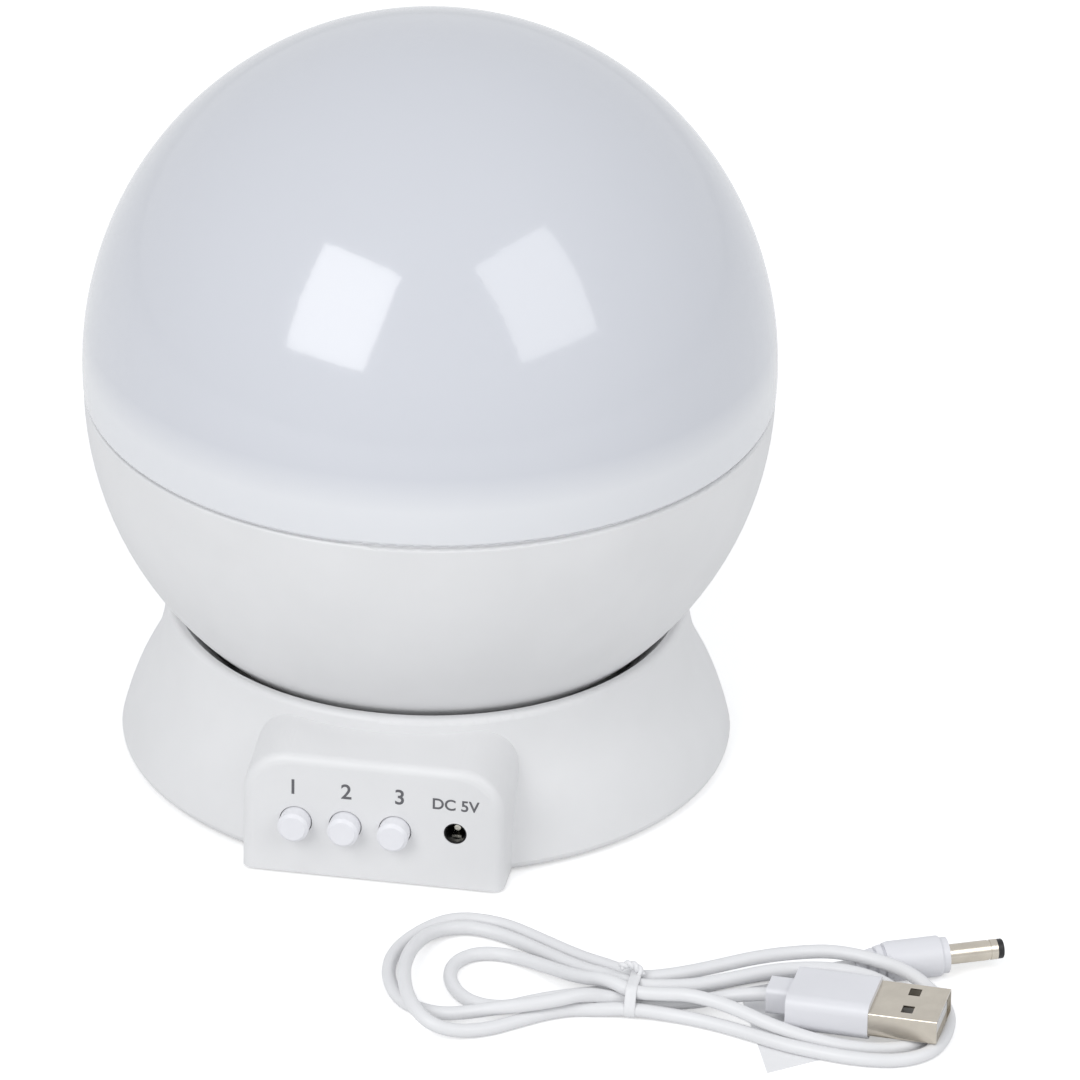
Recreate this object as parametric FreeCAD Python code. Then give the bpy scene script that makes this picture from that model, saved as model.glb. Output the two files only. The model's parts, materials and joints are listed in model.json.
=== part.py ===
"""Star night light projector: a turning globe on a flared base, with its power cable.

Units are millimetres. Z points up, the floor is z = 0, the globe turns about the Z axis,
and the control panel faces -Y.
"""

import FreeCAD, Part
import math
import os

V = FreeCAD.Vector

# Globe
DOME_R = 60.0
DOME_STRETCH = 1.2
DOME_RISE = 5.3
DOME_WALL = 1.8
EDGE_ROUND = 0.8
BOWL_STEP = 0.24
BOWL_WALL = 2.0
SEAM_DROP = 1.44
SEAM_GAP = 0.4
LUG_COUNT = 3
LUG_WIDTH = 6.0
LUG_HEIGHT = 2.0
LUG_PLAY = 0.7
LUG_REACH = 1.2
SEAT_INSET = 2.86
SEAT_WALL = 1.6
SEAT_DEPTH = 7.7
SEAT_RISE = 9.3
SEAT_RIM_INSET = 0.86
MASK_INSET = 2.9
MASK_WALL = 1.2
MASK_FLANGE = 1.2

# Base
BASE_WALL = 2.2
BASE_FLARE = 7.65
BASE_TUCK = 1.75
BASE_WIDE_Z = 2.2
BASE_LOW_SHARE = 0.83
BASE_LOW_Z = 6.9
BASE_MID_SHARE = 0.575
BASE_MID_Z = 11.9
BASE_WAIST_SHARE = 0.261
BASE_WAIST_Z = 16.8
BASE_NECK_SHARE = 0.078
BASE_NECK_Z = 21.8
LIP_Z = 26.9
LIP_ROUND = 1.1
LIP_LAND = 1.864
CUP_GAP = 0.9
CUP_WALL = 1.8
CUP_LIFT = 0.313
CUP_MOUTH_LAP = 0.4
RIM_Z = 0.5

# Control pod
POD_PROUD = 1.75
POD_CENTRE_X = 1.0
POD_HALF_WIDTH = 22.8
POD_TOP_Z = 22.9
POD_RISE = 2.6
POD_CORNER = 8.0
POD_EDGE = 1.8
POD_WALL = 2.0
POD_DEPTH = 17.8
POD_ROOM_DEPTH = 13.5

# Buttons and power socket
BUTTON_COUNT = 3
BUTTON_FIRST_X = -12.4
BUTTON_PITCH = 8.65
BUTTON_Z = 10.5
BUTTON_R = 2.7
BUTTON_PROUD = 3.0
BUTTON_PLAY = 0.15
BUTTON_TRAVEL = 1.2
BUTTON_FLANGE_R = 3.8
BUTTON_FLANGE = 1.0
PLUNGER_R = 1.2
SWITCH_SIZE = 6.0
SWITCH_DEPTH = 3.5
SWITCH_REACH = 0.8
JACK_X = 15.4
JACK_Z = 11.1
JACK_R = 2.0
JACK_BORE_R = 1.8
JACK_SIZE = 7.6
JACK_PIN_R = 0.55
JACK_PIN_DEPTH = 2.3
JACK_LEAF_DEPTH = 1.6
JACK_LEAF_THICK = 0.45
BOARD_THICK = 1.6
BOARD_HALF_WIDTH = 19.6
BOARD_TOP_Z = 19.0

# Bottom cover, door and feet
PLATE_Z = 0.8
PLATE_THICK = 2.4
PLATE_GAP = 0.25
FOOT_R = 4.5
FOOT_INSET = 11.05
DOOR_THICK = 1.0
DOOR_LEDGE = 0.5
DOOR_PLAY = 0.05
DOOR_TRAVEL = 8.0

# Cells
CELL_R = 5.25
CELL_LENGTH = 44.5
CELL_PITCH = 10.9
CELL_COUNT = 4
CELL_AXIS_Z = 8.0
BAY_CENTRE_Y = -5.0
BAY_END_SPACE = 4.0
BAY_WALL = 1.2
BAY_TOP_Z = 14.0
CONTACT_THICK = 0.4
SPRING_R = 2.4
SPRING_WIRE_R = 0.3
SPRING_TURNS = 3

# Deck, bearing and drive
DECK_Z = 15.2
DECK_THICK = 1.4
DECK_INSET = 2.2
BEARING_R = 19.0
BEARING_WALL = 2.5
BEARING_PLAY = 0.06
HUB_WALL = 2.4
GLIDE_THICK = 0.65
GEAR_MODULE = 0.9
GEAR_TEETH = 60
PINION_TEETH = 14
GEAR_THICK = 2.9
SHAFT_R = 1.5
MOTOR_R = 10.0
MOTOR_HEIGHT = 11.4
MOTOR_EAR_X = 12.6
GLOBE_FLOOR_LIFT = 0.8

# Lamp
POST_FLANGE = 1.6
POST_FOOT_R = 11.0
POST_HEAD_R = 8.0
POST_WALL = 1.6
POST_DROP = 9.7
LED_BOARD_R = 13.0
LED_R = 2.5
LED_RING_R = 6.2
LED_SCREW_X = 9.4
LED_HEIGHT = 8.6
RIBBON_WIDTH = 6.0
RIBBON_THICK = 0.6

# Screws
SCREW_PLAY = 0.06
BASE_BOSS_R = 3.2
BASE_BOSS_TOP_Z = 14.0
BASE_SCREW_TIP_Z = 11.2
DECK_SCREW_TIP_Z = 20.4
POST_SCREW_TIP_Z = 18.6
BASE_SCREW_INSET = 7.65
DECK_SCREW_INSET = 2.0
HANG_GAP = 0.05

# Cable
HANK_TOP_Z = 5.9
HANK_RIDGE_Z = 7.8
TIE_X = 52.5
TIE_WIDTH = 2.0
TIE_BACK_Y = -83.5
TIE_FRONT_Y = -93.2
TIE_THICK = 0.4
TIE_HIGH = 5.7
PLUG_ROOM = 0.3
USB_START = (75.4, -87.2)
USB_TURN = -3.0
USB_LIFT = 1.4
USB_RELIEF = (4.1, 5.5, 4.8)
USB_BODY = (14.2, 12.8, 6.6)
USB_SHELL = (11.8, 12.0, 4.5)
USB_SHEET = 0.35
USB_TONGUE = (10.6, 11.0, 1.84)
DC_START = (87.6, -72.6)
DC_TURN = 25.0
DC_TAIL = 6.0
DC_TAIL_R = 1.9
DC_BODY = 9.0
DC_BODY_R = 3.5
DC_COLLAR = 1.2
DC_COLLAR_R = 3.1
DC_BARREL = 8.8
DC_BARREL_R = 1.75
DC_TIP = 1.1
LABEL_THICK = 0.15

# Drive heights, from the deck up to the cup's mouth just above the pinion
PLATE_TOP = PLATE_Z + PLATE_THICK
DECK_TOP = DECK_Z + DECK_THICK
PITCH_R = GEAR_MODULE * GEAR_TEETH / 2
PINION_PITCH_R = GEAR_MODULE * PINION_TEETH / 2
PINION_Y = PITCH_R + PINION_PITCH_R
HUB_R = BEARING_R + BEARING_PLAY
HUB_OUT_R = HUB_R + HUB_WALL
HUB_Z = DECK_TOP + GLIDE_THICK + HANG_GAP
GEAR_TOP = HUB_Z + GEAR_THICK
GLOBE_FLOOR_Z = GEAR_TOP + GLOBE_FLOOR_LIFT
GLOBE_FLOOR_TOP = GLOBE_FLOOR_Z + BOWL_WALL
POST_Z = GLOBE_FLOOR_TOP + 0.2
CUP_MOUTH_R = PINION_Y + PINION_PITCH_R - CUP_MOUTH_LAP
CUP_MOUTH_Z = GEAR_TOP + CUP_LIFT

# The globe sits on the cup, and its parts follow its size
BOWL_R = DOME_R - BOWL_STEP
CUP_R = BOWL_R + CUP_GAP
CUP_UNDER_R = CUP_R + CUP_WALL
BOWL_CENTRE_Z = CUP_MOUTH_Z + math.sqrt(CUP_UNDER_R ** 2 - CUP_MOUTH_R ** 2)
SEAM_Z = BOWL_CENTRE_Z - SEAM_DROP
DOME_CENTRE_Z = SEAM_Z + DOME_RISE
DOME_HALF_HEIGHT = DOME_R + DOME_STRETCH
SEAT_R = BOWL_R - SEAT_INSET
SEAT_RIM_R = BOWL_R - SEAT_RIM_INSET
SEAT_LEDGE_Z = SEAM_Z - SEAT_DEPTH
SEAT_TOP_Z = SEAM_Z + SEAT_RISE
MASK_R = SEAT_R - MASK_INSET
POST_TOP_Z = SEAM_Z - POST_DROP
SEAT_FLOOR_Z = SEAM_Z - SEAM_GAP / 2
DOME_EDGE_Z = SEAM_Z + SEAM_GAP / 2

# The base's wall runs from the cup's lip down to its widest circle
LIP_R = math.sqrt(CUP_R ** 2 - (BOWL_CENTRE_Z - LIP_Z) ** 2) + LIP_LAND
BASE_WIDE_R = LIP_R + BASE_FLARE
BASE_BOTTOM_R = BASE_WIDE_R - BASE_TUCK
BASE_LOW_R = LIP_R + BASE_LOW_SHARE * BASE_FLARE
BASE_MID_R = LIP_R + BASE_MID_SHARE * BASE_FLARE
BASE_WAIST_R = LIP_R + BASE_WAIST_SHARE * BASE_FLARE
BASE_NECK_R = LIP_R + BASE_NECK_SHARE * BASE_FLARE
BASE_SCREW_PITCH_R = BASE_WIDE_R - BASE_SCREW_INSET
FOOT_PITCH_R = BASE_WIDE_R - FOOT_INSET
DECK_R = LIP_R - DECK_INSET
DECK_SCREW_PITCH_R = DECK_R - DECK_SCREW_INSET
POD_FACE = BASE_WIDE_R + POD_PROUD
FACE_IN = POD_FACE - POD_WALL
BOARD_FRONT_Y = -(FACE_IN - BUTTON_FLANGE - BUTTON_TRAVEL - SWITCH_REACH - SWITCH_DEPTH)


def polar(radius, degrees, z=0.0):
    """A point at an angle from +X about the Z axis."""
    a = math.radians(degrees)
    return V(radius * math.cos(a), radius * math.sin(a), z)


def sphere_r(radius, centre_z, z):
    """Radius of a sphere's circle at one height."""
    return math.sqrt(radius ** 2 - (z - centre_z) ** 2)


def under_sphere(radius, centre_z, r):
    """The point on a sphere's lower half at one distance from the axis."""
    return V(r, 0, centre_z - math.sqrt(radius ** 2 - r ** 2))


def line(a, b):
    return Part.LineSegment(a, b).toShape()


def arc(a, middle, b):
    return Part.Arc(a, middle, b).toShape()


def rz(radius, z):
    """A profile point in the XZ plane."""
    return V(radius, 0, z)


def curve(points):
    """A smooth curve through profile points."""
    spline = Part.BSplineCurve()
    spline.interpolate(points)
    return spline.toShape()


def sphere_arc(radius, centre_z, z_from, z_to):
    """The stretch of a circle about the axis between two heights."""
    mid = (z_from + z_to) / 2
    ends = [rz(sphere_r(radius, centre_z, z), z) for z in (z_from, mid, z_to)]
    return arc(*ends)


def spin(edges):
    """Turns a closed profile into a solid of revolution about Z."""
    face = Part.Face(Part.Wire(edges))
    return face.revolve(V(0, 0, 0), V(0, 0, 1), 360)


def spin_polygon(points):
    ring = [rz(r, z) for r, z in points]
    return spin([line(a, b) for a, b in zip(ring, ring[1:] + ring[:1])])


def cylinder(radius, low, high, x=0.0, y=0.0):
    return Part.makeCylinder(radius, high - low, V(x, y, low))


def ring(r_in, r_out, low, high):
    return cylinder(r_out, low, high).cut(cylinder(r_in, low - 1, high + 1))


def box(x0, x1, y0, y1, z0, z1):
    return Part.makeBox(x1 - x0, y1 - y0, z1 - z0, V(x0, y0, z0))


def along_y(radius, y0, y1, x, z):
    """A cylinder that runs along +Y."""
    return Part.makeCylinder(radius, y1 - y0, V(x, y0, z), V(0, 1, 0))


def group(shapes):
    return Part.makeCompound(shapes)


def screw(x, y, head_z, tip_z, head_r, shank_r, head_high=1.2):
    """A cross-head screw with its head at head_z and its tip at tip_z, on a vertical axis."""
    up = 1 if tip_z > head_z else -1
    low, high = sorted((head_z, head_z + up * head_high))
    head = cylinder(head_r, low, high, x, y)
    low, high = sorted((head_z + up * head_high / 2, tip_z))
    shank = cylinder(shank_r, low, high, x, y)
    slot_a = box(x - head_r * 0.6, x + head_r * 0.6, y - 0.25, y + 0.25, head_z - 0.5, head_z + 0.5)
    slot_b = box(x - 0.25, x + 0.25, y - head_r * 0.6, y + head_r * 0.6, head_z - 0.5, head_z + 0.5)
    return head.fuse(shank).cut(slot_a.fuse(slot_b))


def base_outline(inset=0.0):
    """Points of the flared wall from its widest circle to its neck."""
    return [
        rz(BASE_WIDE_R - inset, BASE_WIDE_Z),
        rz(BASE_LOW_R - inset, BASE_LOW_Z),
        rz(BASE_MID_R - inset, BASE_MID_Z),
        rz(BASE_WAIST_R - inset, BASE_WAIST_Z),
        rz(BASE_NECK_R - inset, BASE_NECK_Z),
    ]


def base_outside():
    """The base as a full body, before it is hollowed."""
    flare = base_outline()
    lip_start = rz(LIP_R, LIP_Z - LIP_ROUND)
    lip_end = rz(LIP_R - LIP_ROUND, LIP_Z)
    lip_mid = rz(LIP_R - 0.3 * LIP_ROUND, LIP_Z - 0.3 * LIP_ROUND)
    edges = [
        line(rz(0, RIM_Z), rz(BASE_BOTTOM_R, RIM_Z)),
        arc(rz(BASE_BOTTOM_R, RIM_Z), rz(BASE_WIDE_R - 0.45, RIM_Z + 0.6), flare[0]),
        curve(flare + [lip_start]),
        arc(lip_start, lip_mid, lip_end),
        line(lip_end, rz(0, LIP_Z)),
        line(rz(0, LIP_Z), rz(0, RIM_Z)),
    ]
    return spin(edges)


def pod_section(inset, depth, low):
    """The pod's outline from the front, at a depth behind its face: the top rises towards the back."""
    left = POD_CENTRE_X - POD_HALF_WIDTH + inset
    right = POD_CENTRE_X + POD_HALF_WIDTH - inset
    top = POD_TOP_Z - inset + POD_RISE * depth / POD_DEPTH
    r = max(POD_CORNER - inset, 1.0)
    k = r * (1 - math.sqrt(0.5))
    y = -POD_FACE + depth
    return Part.Wire([
        line(V(left, y, low), V(right, y, low)),
        line(V(right, y, low), V(right, y, top - r)),
        arc(V(right, y, top - r), V(right - k, y, top - k), V(right - r, y, top)),
        line(V(right - r, y, top), V(left + r, y, top)),
        arc(V(left + r, y, top), V(left + k, y, top - k), V(left, y, top - r)),
        line(V(left, y, top - r), V(left, y, low)),
    ])


def pod_body():
    """The control pod's outside, with its front edges rounded."""
    body = Part.makeLoft([pod_section(0, 0, RIM_Z), pod_section(0, POD_DEPTH, RIM_Z)], True, True)
    front = [e for e in body.Edges if e.BoundBox.YMax < -POD_FACE + 0.01 and e.BoundBox.ZMax > RIM_Z + 0.01]
    return body.makeFillet(POD_EDGE, front)


def pod_room():
    """The space inside the pod."""
    sections = [pod_section(POD_WALL, POD_WALL, -1), pod_section(POD_WALL, POD_ROOM_DEPTH, -1)]
    return Part.makeLoft(sections, True, True)


def base_screw_places():
    return [polar(BASE_SCREW_PITCH_R, a) for a in (60, 120, 240, 300)]


def deck_screw_places():
    return [polar(DECK_SCREW_PITCH_R, a) for a in (20, 160, 200, 340)]


def button_places():
    return [BUTTON_FIRST_X + BUTTON_PITCH * n for n in range(BUTTON_COUNT)]


def make_base_shell():
    """The one-piece white shell: flared wall, cup for the globe, and control pod."""
    outside = base_outside().fuse(pod_body())
    wall = base_outline(BASE_WALL)
    wall_top = rz(LIP_R - BASE_WALL - 0.1, BASE_NECK_Z + 1.6)
    under_start = LIP_R - BASE_WALL - 0.9
    under_mid = (under_start + CUP_MOUTH_R) / 2
    under = [under_sphere(CUP_UNDER_R, BOWL_CENTRE_Z, r) for r in (under_start, under_mid, CUP_MOUTH_R)]
    foot_r = BASE_WIDE_R - BASE_WALL - 0.6
    cavity = spin([
        line(rz(0, RIM_Z - 1), rz(foot_r, RIM_Z - 1)),
        line(rz(foot_r, RIM_Z - 1), rz(foot_r, PLATE_TOP)),
        line(rz(foot_r, PLATE_TOP), wall[1]),
        curve(wall[1:] + [wall_top]),
        line(wall_top, under[0]),
        arc(*under),
        line(under[2], rz(CUP_MOUTH_R, LIP_Z + 5)),
        line(rz(CUP_MOUTH_R, LIP_Z + 5), rz(0, LIP_Z + 5)),
        line(rz(0, LIP_Z + 5), rz(0, RIM_Z - 1)),
    ])
    cup = Part.makeSphere(CUP_R, V(0, 0, BOWL_CENTRE_Z))
    solid_room = outside.cut(cup)
    shell = outside.cut([cavity, cup, pod_room()])
    bosses = []
    for p in base_screw_places():
        boss = cylinder(BASE_BOSS_R, PLATE_TOP + HANG_GAP, BASE_BOSS_TOP_Z, p.x, p.y)
        web = box(0, BASE_WIDE_R - BASE_SCREW_PITCH_R, -1.2, 1.2, PLATE_TOP + 1.0, BASE_BOSS_TOP_Z - 1.0)
        facing = FreeCAD.Rotation(V(0, 0, 1), math.degrees(math.atan2(p.y, p.x)))
        web.Placement = FreeCAD.Placement(p, facing)
        bosses.append(boss.fuse(web).common(solid_room))
    for p in deck_screw_places():
        bosses.append(cylinder(2.4, DECK_TOP, LIP_Z, p.x, p.y).common(solid_room))
    shell = shell.fuse(bosses)
    top = BASE_SCREW_TIP_Z + 0.4
    holes = [cylinder(1.25 + SCREW_PLAY, 0, top, p.x, p.y) for p in base_screw_places()]
    top = DECK_SCREW_TIP_Z + 0.6
    holes += [cylinder(0.9 + SCREW_PLAY, DECK_Z, top, p.x, p.y) for p in deck_screw_places()]
    for x in button_places():
        holes.append(along_y(BUTTON_R + BUTTON_PLAY, -POD_FACE - 1, -FACE_IN + 1, x, BUTTON_Z))
    holes.append(along_y(JACK_R, -POD_FACE - 1, -FACE_IN + 1, JACK_X, JACK_Z))
    return shell.cut(holes)


def door_half():
    return CELL_PITCH * CELL_COUNT / 2 + 0.4


def bay_half():
    return CELL_LENGTH / 2 + BAY_END_SPACE


def make_base_plate():
    """The bottom cover, with the cell bay standing on it and the door's rails."""
    plate = cylinder(BASE_WIDE_R - BASE_WALL - 0.6 - PLATE_GAP, PLATE_Z, PLATE_TOP)
    tab_half = POD_HALF_WIDTH - POD_WALL - PLATE_GAP
    left, right = POD_CENTRE_X - tab_half, POD_CENTRE_X + tab_half
    front, back = -FACE_IN + PLATE_GAP, -POD_FACE + POD_ROOM_DEPTH
    plate = plate.fuse(box(left, right, front, back, PLATE_Z, PLATE_TOP))
    hx, hy = door_half(), bay_half()
    y0, y1 = BAY_CENTRE_Y - hy, BAY_CENTRE_Y + hy
    walls = box(-hx - BAY_WALL, hx + BAY_WALL, y0 - BAY_WALL, y1 + BAY_WALL, PLATE_TOP, BAY_TOP_Z)
    plate = plate.fuse(walls)
    reach = y1 + DOOR_TRAVEL + 1.0
    groove_low = PLATE_Z + DOOR_LEDGE
    cuts = [
        box(-hx, hx, y0, y1, PLATE_Z - 1, BAY_TOP_Z + 1),
        box(-hx, hx, y0, reach, PLATE_Z - 1, groove_low + DOOR_THICK + 2 * DOOR_PLAY),
        box(-hx - 1.0, hx + 1.0, y0 - 0.6, reach, groove_low, groove_low + DOOR_THICK + 2 * DOOR_PLAY),
    ]
    for p in base_screw_places():
        cuts.append(cylinder(1.25 + SCREW_PLAY, 0, 6, p.x, p.y))
        cuts.append(cylinder(2.6 + SCREW_PLAY, 0, PLATE_Z + 1.4, p.x, p.y))
    return plate.cut(cuts)


def make_battery_door():
    """The door slides along +Y in the cover's rails; its grip ribs are on the underside."""
    hx, hy = door_half(), bay_half()
    y0, y1 = BAY_CENTRE_Y - hy, BAY_CENTRE_Y + hy
    low = PLATE_Z + DOOR_LEDGE + DOOR_PLAY
    tongue = box(-hx - 0.8, hx + 0.8, y0 - 0.4, y1 - 0.3, low, low + DOOR_THICK)
    panel = box(-hx + 0.25, hx - 0.25, y0 + 0.25, y1 - 0.3, PLATE_Z, low)
    ribs = [box(-8, 8, y1 - 4.0 - 2.0 * n, y1 - 3.2 - 2.0 * n, PLATE_Z - 1, PLATE_Z + 0.3) for n in range(5)]
    return tongue.fuse(panel).cut(ribs)


def make_rubber_feet():
    places = [polar(FOOT_PITCH_R, a) for a in (35, 145, 215, 325)]
    feet = []
    for p in places:
        foot = cylinder(FOOT_R, 0, PLATE_Z, p.x, p.y)
        feet.append(foot.makeFillet(0.3, [e for e in foot.Edges if e.BoundBox.ZMax < 0.01]))
    return group(feet)


def make_base_screws():
    head_z = PLATE_Z + 0.1
    return group([screw(p.x, p.y, head_z, BASE_SCREW_TIP_Z, 2.6, 1.25) for p in base_screw_places()])


def make_deck():
    """The inner deck carries the bearing collar, the motor and the lamp post."""
    deck = ring(14.0, DECK_R, DECK_Z, DECK_TOP)
    collar = ring(BEARING_R - BEARING_WALL, BEARING_R, DECK_TOP, POST_Z)
    deck = deck.fuse(collar)
    low, high = DECK_Z - 1, POST_Z + 1
    cuts = [cylinder(0.9 + SCREW_PLAY, low, high, p.x, p.y) for p in deck_screw_places()]
    cuts += [cylinder(0.8 + SCREW_PLAY, POST_SCREW_TIP_Z - 0.6, high, p.x, p.y) for p in post_screw_places()]
    cuts += [cylinder(0.9 + SCREW_PLAY, low, high, x, PINION_Y) for x in (-MOTOR_EAR_X, MOTOR_EAR_X)]
    cuts.append(cylinder(SHAFT_R + 1.0, low, high, 0, PINION_Y))
    return deck.cut(cuts)


def make_deck_screws():
    return group([screw(p.x, p.y, DECK_Z - 1.2, DECK_SCREW_TIP_Z, 1.9, 0.9) for p in deck_screw_places()])


def make_glide_ring():
    return ring(BEARING_R + 0.1, HUB_OUT_R - 0.1, DECK_TOP, DECK_TOP + GLIDE_THICK)


def make_motor():
    """A flat geared motor under the deck, with two ears and a bearing nose."""
    can = cylinder(MOTOR_R, DECK_Z - MOTOR_HEIGHT, DECK_Z - 3.0, 0, PINION_Y)
    can = can.makeFillet(0.8, [e for e in can.Edges if e.BoundBox.ZMax < DECK_Z - MOTOR_HEIGHT + 0.01])
    head = cylinder(MOTOR_R - 0.4, DECK_Z - 3.0, DECK_Z, 0, PINION_Y)
    ears = box(-MOTOR_EAR_X, MOTOR_EAR_X, PINION_Y - 2.6, PINION_Y + 2.6, DECK_Z - 1.0, DECK_Z)
    ends = [cylinder(2.6, DECK_Z - 1.0, DECK_Z, x, PINION_Y) for x in (-MOTOR_EAR_X, MOTOR_EAR_X)]
    motor = can.fuse([head, ears] + ends)
    hole_r = 0.9 + SCREW_PLAY
    cuts = [cylinder(hole_r, DECK_Z - 2, DECK_TOP, x, PINION_Y) for x in (-MOTOR_EAR_X, MOTOR_EAR_X)]
    cuts.append(cylinder(SHAFT_R + BEARING_PLAY, DECK_Z - 3.2, DECK_TOP, 0, PINION_Y))
    return motor.cut(cuts)


def make_motor_screws():
    places = (-MOTOR_EAR_X, MOTOR_EAR_X)
    return group([screw(x, PINION_Y, DECK_Z - 2.2, DECK_TOP, 1.8, 0.9) for x in places])


def toothed(teeth, low, high, bore_r, phase, x=0.0, y=0.0):
    """A spur gear with straight-sided teeth, a little thinner than half the pitch."""
    pitch_r = GEAR_MODULE * teeth / 2
    root_r = pitch_r - 1.2 * GEAR_MODULE
    tip_r = pitch_r + 0.85 * GEAR_MODULE
    root_half = 0.30 * math.pi * GEAR_MODULE / root_r
    tip_half = 0.13 * math.pi * GEAR_MODULE / tip_r
    points = []
    for n in range(teeth):
        a = math.radians(phase) + 2 * math.pi * n / teeth
        for r, d in ((root_r, -root_half), (tip_r, -tip_half), (tip_r, tip_half), (root_r, root_half)):
            points.append(V(x + r * math.cos(a + d), y + r * math.sin(a + d), low))
    wire = Part.makePolygon(points + [points[0]])
    blank = Part.Face(wire).extrude(V(0, 0, high - low))
    return blank.cut(cylinder(bore_r, low - 1, high + 1, x, y))


def gear_screw_places():
    return [polar((HUB_OUT_R + PITCH_R - 2 * GEAR_MODULE) / 2, a) for a in (30, 150, 270)]


def make_ring_gear():
    """The driven gear sits round the globe's hub, screwed up against the bowl."""
    gear = toothed(GEAR_TEETH, HUB_Z, GEAR_TOP, HUB_OUT_R + 0.05, 0.0)
    step = ring(HUB_OUT_R + 0.05, PITCH_R - 2 * GEAR_MODULE, GEAR_TOP, GLOBE_FLOOR_Z)
    holes = [cylinder(0.9 + SCREW_PLAY, HUB_Z + 1.0, GLOBE_FLOOR_TOP, p.x, p.y) for p in gear_screw_places()]
    return gear.fuse(step).cut(holes)


def make_gear_screws():
    head_z = GLOBE_FLOOR_TOP + 1.2
    return group([screw(p.x, p.y, head_z, HUB_Z + 1.4, 1.3, 0.9) for p in gear_screw_places()])


def make_pinion():
    gap_phase = 270 + 180 / PINION_TEETH
    return toothed(PINION_TEETH, HUB_Z, GEAR_TOP, SHAFT_R + 0.02, gap_phase, 0, PINION_Y)


def make_motor_shaft():
    return cylinder(SHAFT_R, DECK_Z - 3.0, GEAR_TOP, 0, PINION_Y)


def make_rotor_bowl():
    """The lower half of the globe, with its floor and bearing hub."""
    rim_r = sphere_r(BOWL_R, BOWL_CENTRE_Z, SEAT_FLOOR_Z)
    inner = BOWL_R - BOWL_WALL
    floor_out = sphere_r(BOWL_R, BOWL_CENTRE_Z, GLOBE_FLOOR_Z)
    floor_in = sphere_r(inner, BOWL_CENTRE_Z, GLOBE_FLOOR_TOP)
    ledge_in = SEAT_R - SEAT_WALL
    ledge_low = SEAT_LEDGE_Z - 2.0
    rim_in = sphere_r(inner, BOWL_CENTRE_Z, SEAT_FLOOR_Z)
    start = rz(sphere_r(BOWL_R, BOWL_CENTRE_Z, SEAT_FLOOR_Z - 0.5), SEAT_FLOOR_Z - 0.5)
    edges = [
        sphere_arc(BOWL_R, BOWL_CENTRE_Z, GLOBE_FLOOR_Z, start.z),
        arc(start, rz(rim_r - 0.12, SEAT_FLOOR_Z - 0.12), rz(rim_r - 0.5, SEAT_FLOOR_Z)),
        line(rz(rim_r - 0.5, SEAT_FLOOR_Z), rz(rim_in, SEAT_FLOOR_Z)),
        sphere_arc(inner, BOWL_CENTRE_Z, SEAT_FLOOR_Z, SEAT_LEDGE_Z),
        line(rz(sphere_r(inner, BOWL_CENTRE_Z, SEAT_LEDGE_Z), SEAT_LEDGE_Z), rz(ledge_in, SEAT_LEDGE_Z)),
        line(rz(ledge_in, SEAT_LEDGE_Z), rz(sphere_r(inner, BOWL_CENTRE_Z, ledge_low), ledge_low)),
        sphere_arc(inner, BOWL_CENTRE_Z, ledge_low, GLOBE_FLOOR_TOP),
        line(rz(floor_in, GLOBE_FLOOR_TOP), rz(HUB_R, GLOBE_FLOOR_TOP)),
        line(rz(HUB_R, GLOBE_FLOOR_TOP), rz(HUB_R, HUB_Z)),
        line(rz(HUB_R, HUB_Z), rz(HUB_OUT_R, HUB_Z)),
        line(rz(HUB_OUT_R, HUB_Z), rz(HUB_OUT_R, GLOBE_FLOOR_Z)),
        line(rz(HUB_OUT_R, GLOBE_FLOOR_Z), rz(floor_out, GLOBE_FLOOR_Z)),
    ]
    bowl = spin(edges)
    low, high = GLOBE_FLOOR_Z - 1, GLOBE_FLOOR_TOP + 1
    return bowl.cut([cylinder(0.9 + SCREW_PLAY, low, high, p.x, p.y) for p in gear_screw_places()])


def lug_angles():
    return [90 + 360 * n / LUG_COUNT for n in range(LUG_COUNT)]


def turned_box(angle, r0, r1, half_width, z0, z1):
    """A block on a ray from the axis, turned to an angle."""
    block = box(r0, r1, -half_width, half_width, z0, z1)
    block.rotate(V(0, 0, 0), V(0, 0, 1), angle)
    return block


def make_seat_ring():
    """The white collar in the bowl's rim: its thin rim carries the dome and its top the star cap."""
    inner = SEAT_R - SEAT_WALL
    body = spin_polygon([
        (inner, SEAT_LEDGE_Z), (SEAT_R, SEAT_LEDGE_Z), (SEAT_R, SEAT_FLOOR_Z), (SEAT_RIM_R, SEAT_FLOOR_Z),
        (SEAT_RIM_R, DOME_EDGE_Z), (SEAT_R, DOME_EDGE_Z), (SEAT_R, SEAT_TOP_Z),
        (inner - 2.0, SEAT_TOP_Z), (inner - 2.0, SEAT_TOP_Z - 1.4), (inner, SEAT_TOP_Z - 2.6),
    ])
    half = LUG_WIDTH / 2 + LUG_PLAY
    low, high = DOME_EDGE_Z + 0.6, SEAT_TOP_Z + 1
    return body.cut([turned_box(a, inner - 3, SEAT_R + 2, half, low, high) for a in lug_angles()])


def star_prism(direction, across, turn):
    """A five-pointed star cut along one direction from the centre of the cap."""
    centre = V(0, 0, DOME_CENTRE_Z)
    side = direction.cross(V(0, 0, 1))
    if side.Length < 0.01:
        side = V(1, 0, 0)
    side.normalize()
    up = side.cross(direction)
    points = []
    for n in range(10):
        r = across / 2 * (1.0 if n % 2 == 0 else 0.42)
        a = math.radians(turn + 36 * n)
        points.append(side * (r * math.cos(a)) + up * (r * math.sin(a)) + centre + direction * (MASK_R - 6))
    return Part.Face(Part.makePolygon(points + [points[0]])).extrude(direction * 12)


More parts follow.
